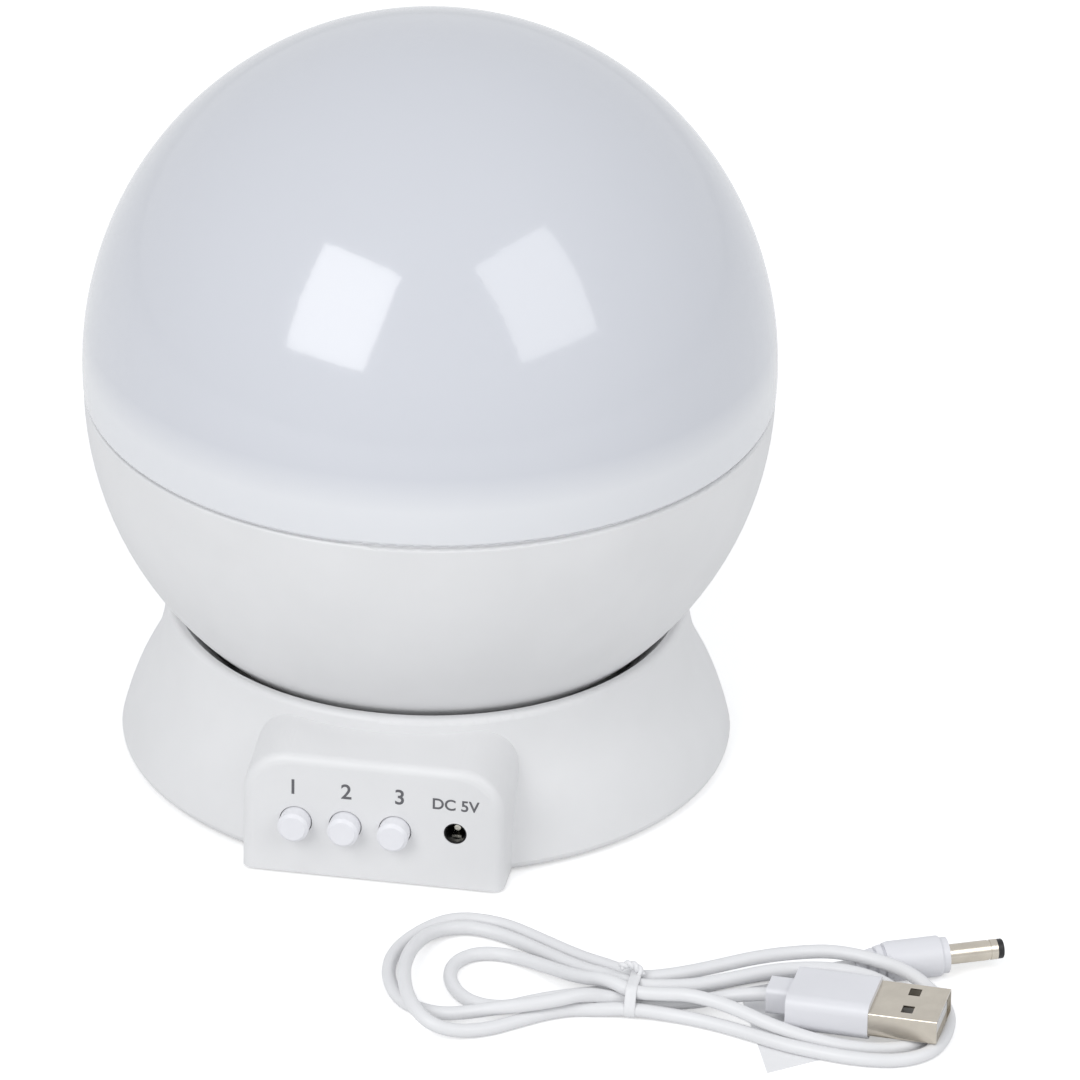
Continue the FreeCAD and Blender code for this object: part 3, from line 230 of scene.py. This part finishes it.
def board_material(name, colour):
    """A circuit board: solder mask with paler tracks under it."""
    mat, tree, shader = new_material(name)
    tracks = add(tree, "ShaderNodeTexBrick", Scale=260.0)
    link(tree, object_point(tree), tracks.inputs["Vector"])
    tracks.inputs["Color1"].default_value = colour
    tracks.inputs["Color2"].default_value = shade(colour, 1.3)
    tracks.inputs["Mortar"].default_value = shade(colour, 2.2)
    tracks.inputs["Mortar Size"].default_value = 0.03
    link(tree, tracks.outputs["Color"], shader.inputs["Base Color"])
    shader.inputs["Roughness"].default_value = 0.3
    link(tree, bump(tree, noise(tree, 900.0), 0.3, 0.00003), shader.inputs["Normal"])
    return mat


def lens_material(name, colour):
    """A tinted clear lamp body."""
    mat = moulded(name, colour, rough=0.08, coat=0.6)
    shader = mat.node_tree.nodes["Principled BSDF"]
    shader.inputs["Transmission Weight"].default_value = 0.45
    shader.inputs["IOR"].default_value = 1.5
    return mat


def dome_material():
    """Milky polished plastic with painted see-through shade: darker bluish grey where the dark star
    mask lies behind, paler near the seam where the white collar shows through.
    """
    mat, tree, shader = new_material("milky_dome")
    split = add(tree, "ShaderNodeSeparateXYZ")
    link(tree, object_point(tree), split.inputs["Vector"])
    low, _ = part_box("diffuser_dome")
    _, collar_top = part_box("seat_ring")
    height = add(tree, "ShaderNodeMapRange")
    height.inputs["From Min"].default_value = low[2]
    height.inputs["From Max"].default_value = collar_top[2] + 6 * MM
    link(tree, split.outputs["Z"], height.inputs["Value"])
    # Painted shade by height: paler near the seam for the white collar behind, darker higher up for
    # the dark star mask behind
    painted_see_through = ramp(tree, height.outputs["Result"], [
        (0.0, DOME_COLLAR_SHOWTHROUGH_TINT), (0.45, DOME_COLLAR_SHOWTHROUGH_TINT), (0.85, DOME_MASK_SHADE_TINT), (1.0, DOME_MASK_SHADE_TINT),
    ])
    cloud = blotches(tree, noise(tree, 22.0, 3.0), grey(0.985), grey(1.0))
    mix = add(tree, "ShaderNodeMix", data_type="RGBA", blend_type="MULTIPLY")
    mix.inputs[0].default_value = 1.0
    link(tree, painted_see_through, mix.inputs[6])
    link(tree, cloud, mix.inputs[7])
    link(tree, mix.outputs[2], shader.inputs["Base Color"])
    gloss = blotches(tree, noise(tree, 90.0), grey(0.1), grey(0.13))
    link(tree, gloss, shader.inputs["Roughness"])
    link(tree, bump(tree, noise(tree, 900.0, 2.0), 0.06, 0.00001), shader.inputs["Normal"])
    shader.inputs["Subsurface Weight"].default_value = 0.25
    shader.inputs["Subsurface Radius"].default_value = (0.004, 0.004, 0.004)
    shader.inputs["Coat Weight"].default_value = 0.5
    shader.inputs["Coat Roughness"].default_value = 0.03
    return mat


materials = {
    "shell_white": moulded("shell_white", BODY_TINT, rough=0.42),
    "door_white": moulded("door_white", shade(BODY_TINT, 0.98), rough=0.46),
    "milky_dome": dome_material(),
    "collar_white": moulded("collar_white", (0.84, 0.84, 0.85, 1), rough=0.4),
    "star_film": moulded("star_film", (0.06, 0.08, 0.2, 1), rough=0.25, coat=0.3),
    "button_white": moulded("button_white", (0.82, 0.82, 0.85, 1), rough=0.36),
    "foot_rubber": moulded(
        "foot_rubber", (0.05, 0.05, 0.05, 1), rough=0.8, grain=1600.0, depth=3 * GRAIN_DEPTH,
    ),
    "screw_steel": metal("screw_steel", (0.6, 0.6, 0.62, 1), rough=0.3),
    "inner_white": moulded("inner_white", (0.72, 0.72, 0.72, 1), rough=0.55),
    "nylon": moulded("nylon", (0.78, 0.76, 0.68, 1), rough=0.5),
    "motor_can": metal("motor_can", (0.55, 0.55, 0.56, 1), rough=0.35, brush=(1, 1, 8)),
    "shaft_steel": metal("shaft_steel", (0.65, 0.65, 0.66, 1), rough=0.2, brush=(1, 1, 10)),
    "board_green": board_material("board_green", (0.015, 0.14, 0.05, 1)),
    "led_warm": lens_material("led_warm", (0.95, 0.8, 0.4, 1)),
    "led_red": lens_material("led_red", (0.8, 0.06, 0.05, 1)),
    "led_green": lens_material("led_green", (0.08, 0.65, 0.15, 1)),
    "led_blue": lens_material("led_blue", (0.06, 0.15, 0.8, 1)),
    "ribbon_grey": moulded("ribbon_grey", (0.4, 0.41, 0.43, 1), rough=0.5),
    "black_plastic": moulded("black_plastic", (0.008, 0.008, 0.009, 1), rough=0.35),
    "contact_metal": metal("contact_metal", (0.7, 0.68, 0.6, 1), rough=0.25),
    "cell_jacket": moulded("cell_jacket", (0.04, 0.06, 0.12, 1), rough=0.25, coat=0.4),
    "cord_white": moulded("cord_white", CORD_TINT, rough=0.38, grain=1800.0),
    "plug_white": moulded("plug_white", (0.77, 0.77, 0.80, 1), rough=0.34),
    "tie_white": moulded("tie_white", (0.82, 0.82, 0.83, 1), rough=0.45),
    "label_paper": moulded(
        "label_paper", (0.86, 0.86, 0.87, 1), rough=0.85, grain=1200.0, depth=2 * GRAIN_DEPTH,
    ),
    "plug_nickel": metal("plug_nickel", (0.64, 0.59, 0.51, 1), rough=0.2, brush=(6, 1, 1)),
    "tongue_white": moulded("tongue_white", (0.7, 0.7, 0.7, 1), rough=0.5),
}
ink = moulded("ink_grey", (0.12, 0.12, 0.13, 1), rough=0.5)

slot_of = {row["node"]: row["material_slot"] for row in frame["record"]["subparts"]}
for node_name, node in nodes.items():
    node.data.materials.clear()
    node.data.materials.append(materials[slot_of[node_name]])


def put(obj, material):
    """Links a new piece, gives it its finish and lets it ride on the base."""
    bpy.context.scene.collection.objects.link(obj)
    bpy.context.view_layer.update()
    obj.data.materials.clear()
    obj.data.materials.append(material)
    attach(obj, "base")
    return obj


def join_rings(shape, rings):
    """Faces between each closed ring of vertices and the next, all the way round."""
    count = len(rings[0])
    for one, two in zip(rings, rings[1:] + rings[:1]):
        for k in range(count):
            m = (k + 1) % count
            shape.faces.new((one[k], one[m], two[m], two[k]))


def to_mesh(name, shape):
    """Turns a built shape into a mesh whose faces look outward."""
    bmesh.ops.recalc_face_normals(shape, faces=shape.faces)
    mesh = bpy.data.meshes.new(name)
    shape.to_mesh(mesh)
    shape.free()
    return mesh


def nurbs(name, points, radius):
    """A smooth round curve whose control points are the route's points."""
    curve = bpy.data.curves.new(name, "CURVE")
    curve.dimensions = "3D"
    curve.bevel_depth = radius
    curve.bevel_resolution = 6
    curve.resolution_u = 12
    curve.use_fill_caps = True
    spline = curve.splines.new("NURBS")
    spline.points.add(len(points) - 1)
    for spot, point in zip(spline.points, points):
        spot.co = (*point, 1.0)
    spline.order_u = 3
    spline.use_endpoint_u = True
    return bpy.data.objects.new(name, curve)


# Cable route: from the round plug, through the tie and round five loops, to the flat plug
CABLE = [
    (87.6, -72.6, 3.5), (84.2, -74.2, 3.3), (80.5, -75.0, 2.4), (77.0, -73.9, 1.6),
    (73.0, -74.3, FLOOR), (67.2, -77.8, FLOOR), (62.0, -81.8, FLOOR), (57.5, -84.8, 1.4),
    (TIE_X, -86.5, LOWER), (48.0, -86.2, 1.35), (43.4, -87.6, FLOOR), (38.3, -90.0, FLOOR),
    (35.1, -92.1, FLOOR), (31.9, -94.5, FLOOR), (28.4, -94.9, FLOOR), (24.8, -93.5, FLOOR),
    (22.1, -90.4, FLOOR), (20.4, -86.3, FLOOR), (20.3, -81.9, FLOOR), (22.3, -78.4, FLOOR),
    (25.6, -76.9, FLOOR), (30.2, -77.4, 1.3), (36.4, -81.0, 2.0), (42.6, -86.0, 3.5),
    (48.4, -88.2, 4.9), (TIE_X, -90.2, UPPER), (57.5, -90.2, 4.3), (62.7, -89.9, 4.6),
    (69.8, -92.0, 4.3), (76.4, -94.7, 3.3), (83.7, -96.0, 2.0), (90.5, -96.6, 1.4),
    (97.1, -95.7, FLOOR), (101.9, -92.7, FLOOR), (103.0, -88.4, FLOOR), (102.4, -84.0, FLOOR),
    (100.0, -80.6, FLOOR), (96.4, -78.7, 2.6), (92.4, -78.5, 4.8), (87.4, -78.8, 5.9),
    (81.7, -77.6, 5.2), (74.2, -78.5, 4.3), (68.1, -82.2, 4.0), (62.0, -85.6, 3.9),
    (57.0, -87.1, 4.0), (TIE_X, -87.7, UPPER), (47.6, -84.7, 3.7), (42.2, -81.8, 2.8),
    (33.5, -74.6, 1.5), (27.4, -70.8, 1.3), (22.4, -69.2, 1.3), (18.6, -69.8, 1.5),
    (14.8, -73.2, 2.0), (13.0, -79.5, 2.8), (12.8, -86.0, 3.3), (13.6, -91.8, 3.8),
    (15.2, -97.6, 3.95), (17.6, -102.6, 3.7), (20.9, -105.4, 2.7), (24.9, -105.0, 1.6),
    (30.1, -102.6, FLOOR), (34.4, -98.8, FLOOR), (38.9, -95.0, FLOOR), (43.0, -92.9, FLOOR),
    (47.4, -92.2, FLOOR), (TIE_X, -91.5, LOWER), (59.7, -91.6, 1.3), (65.2, -92.4, FLOOR),
    (72.3, -94.6, FLOOR), (79.4, -97.45, FLOOR), (86.4, -99.0, FLOOR), (93.3, -99.9, FLOOR),
    (100.3, -98.9, FLOOR), (104.9, -94.7, FLOOR), (106.1, -87.8, FLOOR), (105.3, -81.1, FLOOR),
    (102.0, -77.2, 2.5), (97.5, -74.9, 4.6), (91.7, -74.9, 6.4), (84.8, -73.6, 6.5),
    (79.1, -72.5, 5.2), (71.3, -74.1, 4.2), (63.2, -79.9, 4.1), (57.5, -83.4, 4.1),
    (TIE_X, -85.2, UPPER), (48.2, -81.4, 3.4), (41.5, -77.4, 2.4), (32.8, -70.6, 1.4),
    (26.4, -66.7, FLOOR), (19.6, -65.9, FLOOR), (15.3, -68.2, FLOOR), (11.7, -73.8, FLOOR),
    (9.6, -80.1, FLOOR), (9.8, -86.3, FLOOR), (11.5, -91.8, FLOOR), (14.2, -96.2, FLOOR),
    (18.1, -98.4, FLOOR), (22.0, -99.2, 1.4), (26.2, -99.2, 2.2), (30.8, -98.8, 3.3),
    (36.0, -97.6, 3.9), (40.6, -95.4, 4.1), (44.6, -92.4, 4.1), (48.4, -89.8, 2.45),
    (TIE_X, -89.0, LOWER), (57.0, -88.6, 1.6), (62.0, -88.0, 2.0), (66.7, -87.5, 3.0),
    (71.0, -87.2, 4.2), (75.4, -87.2, 4.7),
]


def line_length(obj):
    """Length of a curve's own line."""
    bare = obj.copy()
    bare.data = obj.data.copy()
    bare.data.bevel_depth = 0.0
    mesh = bpy.data.meshes.new_from_object(bare)
    spots = [v.co.copy() for v in mesh.vertices]
    bpy.data.objects.remove(bare)
    return sum((b - a).length for a, b in zip(spots, spots[1:]))


def make_cable(tie):
    points = [Vector(p) * MM for p in CABLE]
    cable = nurbs("cable", points, CORD_DIAMETER / 2 * MM)
    length = line_length(cable)
    put(cable, materials["cord_white"])
    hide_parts("cable_hank")
    on_it = [nodes[n] for n in ("cable_label", "usb_relief", "usb_body", "usb_shell", "usb_tongue")]
    on_it += [nodes[n] for n in ("dc_plug_body", "dc_plug_barrel", "dc_plug_tip")]
    on_it.append(tie)


# Twist tie: a ribbed band drawn tight round the strands, with its two ends twisted and bent over
def band_loop(reach):
    """Points of a band round both rows of strands, in the YZ plane, and its outward directions."""
    facing = []
    for (y0, z0), (y1, z1) in zip(TIE_CORNERS, TIE_CORNERS[1:] + TIE_CORNERS[:1]):
        facing.append(math.atan2(-(y1 - y0), z1 - z0))
    spots = []
    for n, (y, z) in enumerate(TIE_CORNERS):
        start, end = facing[n - 1], facing[n]
        while end < start:
            end += 2 * math.pi
        for k in range(TIE_ARC_STEPS + 1):
            a = start + (end - start) * k / TIE_ARC_STEPS
            out_y, out_z = math.cos(a), math.sin(a)
            spots.append((y + reach * out_y, z + reach * out_z, out_y, out_z))
    return spots


def band_mesh(shape):
    """Sweeps the band's ribbed section round the strands."""
    half, thick, rib = TIE_HALF_WIDTH, TIE_THICK, TIE_RIB
    section = [
        (-half, 0.0), (-half, thick * 0.7), (-0.75 * half, thick), (-0.3 * half, thick), (0.0, rib),
        (0.3 * half, thick), (0.75 * half, thick), (half, thick * 0.7), (half, 0.0), (0.0, 0.0),
    ]
    rings = []
    for y, z, out_y, out_z in band_loop(CORD_DIAMETER / 2 + 0.02):
        spots = [
            Vector((TIE_X + across, y + out_y * off, z + out_z * off)) * MM
            for across, off in section
        ]
        rings.append([shape.verts.new(spot) for spot in spots])
    join_rings(shape, rings)


def twisted_ends():
    """The tie's two wire ends, wound round each other along a short curl."""
    curve = bpy.data.curves.new("tie_ends", "CURVE")
    curve.dimensions = "3D"
    curve.bevel_depth = TIE_END_R * MM
    curve.bevel_resolution = 3
    curve.use_fill_caps = True
    for start in (0.0, math.pi):
        spline = curve.splines.new("NURBS")
        spline.points.add(TIE_END_STEPS)
        for k, spot in enumerate(spline.points):
            t = k / TIE_END_STEPS
            bend = TIE_CURL * t
            middle = Vector((
                TIE_X + 0.9 - TIE_CURL_R * (1 - math.cos(bend)) - 0.9 * t,
                TIE_END_Y + 0.7 * math.sin(bend),
                TIE_END_Z + TIE_CURL_R * math.sin(bend),
            ))
            turn = start + TIE_END_TURNS * 2 * math.pi * t
            outward = Vector((math.cos(bend), 0.0, math.sin(bend)))
            offset = outward * math.cos(turn) + Vector((0, 1, 0)) * math.sin(turn)
            spot.co = (*((middle + offset * TIE_END_R * 0.8) * MM), 1.0)
        spline.order_u = 3
        spline.use_endpoint_u = True
    return curve


def make_tie():
    shape = bmesh.new()
    band_mesh(shape)
    ends = bpy.data.objects.new("tie_ends", twisted_ends())
    shape.from_mesh(bpy.data.meshes.new_from_object(ends))
    bpy.data.objects.remove(ends)
    mesh = to_mesh("tie", shape)
    for face in mesh.polygons:
        face.use_smooth = True
    tie = put(bpy.data.objects.new("tie", mesh), materials["tie_white"])
    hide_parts("twist_tie")
    return tie


make_cable(make_tie())


# Black nose of the power socket, which lines the panel's hole
def make_socket_nose():
    low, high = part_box("dc_jack")
    x, z = (low[0] + high[0]) / 2, (low[2] + high[2]) / 2
    face_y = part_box("base_shell")[0][1]
    depth = low[1] - face_y
    section = [
        (NOSE_IN_R, depth), (NOSE_IN_R, 0.2 * MM), (NOSE_IN_R + NOSE_ROUND, NOSE_FACE),
        (NOSE_OUT_R - NOSE_ROUND, NOSE_FACE), (NOSE_OUT_R, 0.14 * MM), (NOSE_OUT_R, depth),
    ]
    shape = bmesh.new()
    rings = []
    for k in range(NOSE_STEPS):
        a = 2 * math.pi * k / NOSE_STEPS
        spots = [(x + r * math.cos(a), face_y + y, z + r * math.sin(a)) for r, y in section]
        rings.append([shape.verts.new(spot) for spot in spots])
    join_rings(shape, rings)
    mesh = to_mesh("socket_nose", shape)
    nose = put(bpy.data.objects.new("socket_nose", mesh), materials["black_plastic"])


make_socket_nose()


# Printed marks on the panel
def panel_text(name, words, x, z, size):
    curve = bpy.data.curves.new(name, "FONT")
    curve.body = words
    curve.size = size * MM
    curve.extrude = MARK_THICK * MM
    curve.offset = MARK_WEIGHT * MM
    curve.align_x = "CENTER"
    curve.align_y = "CENTER"
    text = bpy.data.objects.new(name, curve)
    face_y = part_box("base_shell")[0][1]
    text.location = (x * MM, face_y - MARK_THICK * MM, z * MM)
    text.rotation_euler = (math.radians(90), 0, 0)
    put(text, ink)


def make_marks():
    for n in range(3):
        panel_text(f"mark_{n + 1}", str(n + 1), MARK_FIRST_X + MARK_PITCH * n, MARK_Z, MARK_SIZE)
    low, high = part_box("dc_jack")
    panel_text("mark_socket", "DC 5V", (low[0] + high[0]) / 2 / MM, SOCKET_MARK_Z, SOCKET_MARK_SIZE)


make_marks()


# Studio
def light_paths(tree):
    """The light path node, and a value that is 1 for a glossy or a transmission ray."""
    path = add(tree, "ShaderNodeLightPath")
    shiny = add(tree, "ShaderNodeMath", operation="MAXIMUM")
    link(tree, path.outputs["Is Glossy Ray"], shiny.inputs[0])
    link(tree, path.outputs["Is Transmission Ray"], shiny.inputs[1])
    return path, shiny


def make_floor():
    mesh = bpy.data.meshes.new("floor")
    corners = [(x * FLOOR_HALF, y * FLOOR_HALF, 0) for x, y in ((-1, -1), (1, -1), (1, 1), (-1, 1))]
    mesh.from_pydata(corners, [], [(0, 1, 2, 3)])
    floor = bpy.data.objects.new("floor", mesh)
    bpy.context.scene.collection.objects.link(floor)
    mat, tree, shader = new_material("floor_white")
    shader.inputs["Base Color"].default_value = grey(FLOOR_WHITE)
    shader.inputs["Roughness"].default_value = FLOOR_ROUGH
    glow = add(tree, "ShaderNodeEmission")
    path, shiny = light_paths(tree)
    sheen = add(tree, "ShaderNodeMath", operation="MULTIPLY")
    sheen.inputs[1].default_value = FLOOR_SHEEN
    link(tree, shiny.outputs["Value"], sheen.inputs[0])
    level = add(tree, "ShaderNodeMath", operation="MULTIPLY_ADD")
    level.inputs[1].default_value = FLOOR_GLOW
    link(tree, path.outputs["Is Camera Ray"], level.inputs[0])
    link(tree, sheen.outputs["Value"], level.inputs[2])
    link(tree, level.outputs["Value"], glow.inputs["Strength"])
    both = add(tree, "ShaderNodeAddShader")
    link(tree, shader.outputs["BSDF"], both.inputs[0])
    link(tree, glow.outputs["Emission"], both.inputs[1])
    link(tree, both.outputs["Shader"], tree.nodes["Material Output"].inputs["Surface"])
    mesh.materials.append(mat)


def make_world():
    world = bpy.data.worlds.new("studio")
    bpy.context.scene.world = world
    world.use_nodes = True
    tree = world.node_tree
    tree.nodes.clear()
    out = add(tree, "ShaderNodeOutputWorld")
    mix = add(tree, "ShaderNodeMixShader")
    seen = add(tree, "ShaderNodeBackground")
    seen.inputs["Color"].default_value = grey(1.0)
    fill = add(tree, "ShaderNodeBackground")
    fill.inputs["Color"].default_value = FILL_TINT
    fill.inputs["Strength"].default_value = WORLD_FILL
    sheen = add(tree, "ShaderNodeBackground")
    sheen.inputs["Color"].default_value = SHEEN_TINT
    sheen.inputs["Strength"].default_value = WORLD_SHEEN
    path, shiny = light_paths(tree)
    inner = add(tree, "ShaderNodeMixShader")
    link(tree, shiny.outputs["Value"], inner.inputs[0])
    link(tree, fill.outputs["Background"], inner.inputs[1])
    link(tree, sheen.outputs["Background"], inner.inputs[2])
    link(tree, path.outputs["Is Camera Ray"], mix.inputs[0])
    link(tree, inner.outputs["Shader"], mix.inputs[1])
    link(tree, seen.outputs["Background"], mix.inputs[2])
    link(tree, mix.outputs["Shader"], out.inputs["Surface"])


def softbox(name, place, aim, size, power):
    light = bpy.data.lights.new(name, "AREA")
    light.shape = "RECTANGLE"
    light.size, light.size_y = size
    light.energy = power
    obj = bpy.data.objects.new(name, light)
    bpy.context.scene.collection.objects.link(obj)
    obj.location = place
    obj.rotation_euler = (Vector(aim) - Vector(place)).to_track_quat("-Z", "Y").to_euler()


def camera_axes():
    """The camera's right, up and back directions, with its small roll."""
    az, el, roll = (math.radians(a) for a in (CAMERA_AZIMUTH, CAMERA_ELEVATION, CAMERA_ROLL))
    back = Vector((math.sin(az) * math.cos(el), -math.cos(az) * math.cos(el), math.sin(el)))
    right = Vector((math.cos(az), math.sin(az), 0.0))
    up = back.cross(right)
    turned_right = right * math.cos(roll) + up * math.sin(roll)
    turned_up = up * math.cos(roll) - right * math.sin(roll)
    return turned_right, turned_up, back


def make_camera():
    right, up, back = camera_axes()
    data = bpy.data.cameras.new("camera")
    data.sensor_width = SENSOR
    data.lens = CAMERA_FOCUS_PX / PICTURE * SENSOR
    data.shift_x = (PICTURE / 2 - CAMERA_CENTRE_PX[0]) / PICTURE
    data.shift_y = -(PICTURE / 2 - CAMERA_CENTRE_PX[1]) / PICTURE
    data.clip_end = CAMERA_REACH
    camera = bpy.data.objects.new("camera", data)
    bpy.context.scene.collection.objects.link(camera)
    turn = Matrix((right, up, back)).transposed().to_4x4()
    place = Vector(CAMERA_TARGET) + back * CAMERA_DISTANCE
    camera.matrix_world = Matrix.Translation(place) @ turn
    bpy.context.scene.camera = camera


make_floor()
make_world()
make_camera()
for box_name, box_values in SOFTBOXES.items():
    softbox(box_name, **box_values)

bpy.context.scene.view_settings.view_transform = "Standard"
